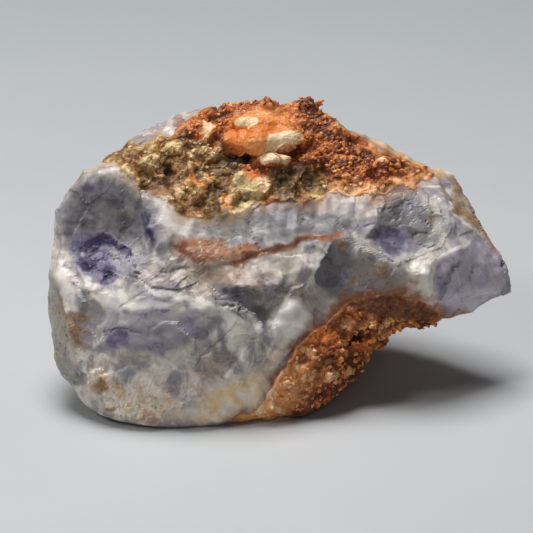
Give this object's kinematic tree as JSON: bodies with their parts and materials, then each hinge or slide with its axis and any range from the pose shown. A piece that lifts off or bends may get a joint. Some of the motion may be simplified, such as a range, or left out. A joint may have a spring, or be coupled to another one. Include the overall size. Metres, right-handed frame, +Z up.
{
  "type": "rough opal",
  "caption": "Rough lump of milky violet opal with sharp shell-shaped breaks, a pointed wing at one end and a crumbly rusty rind over its top and foot.",
  "frame": {"origin": "centre of the bounding box, on the surface that the stone rests on", "axes": "+Z up from the flat spot, +X along the stone's length towards its pointed wing, +Y away from the side with the ridges and the purple pocket"},
  "size_m": [0.0704, 0.044, 0.0407],
  "materials": {
    "opal": "wet, glassy milky violet opal with a rusty, crumbly rind"
  },
  "bodies": {
    "root": {"opal": "opal"}
  },
  "joints": []
}
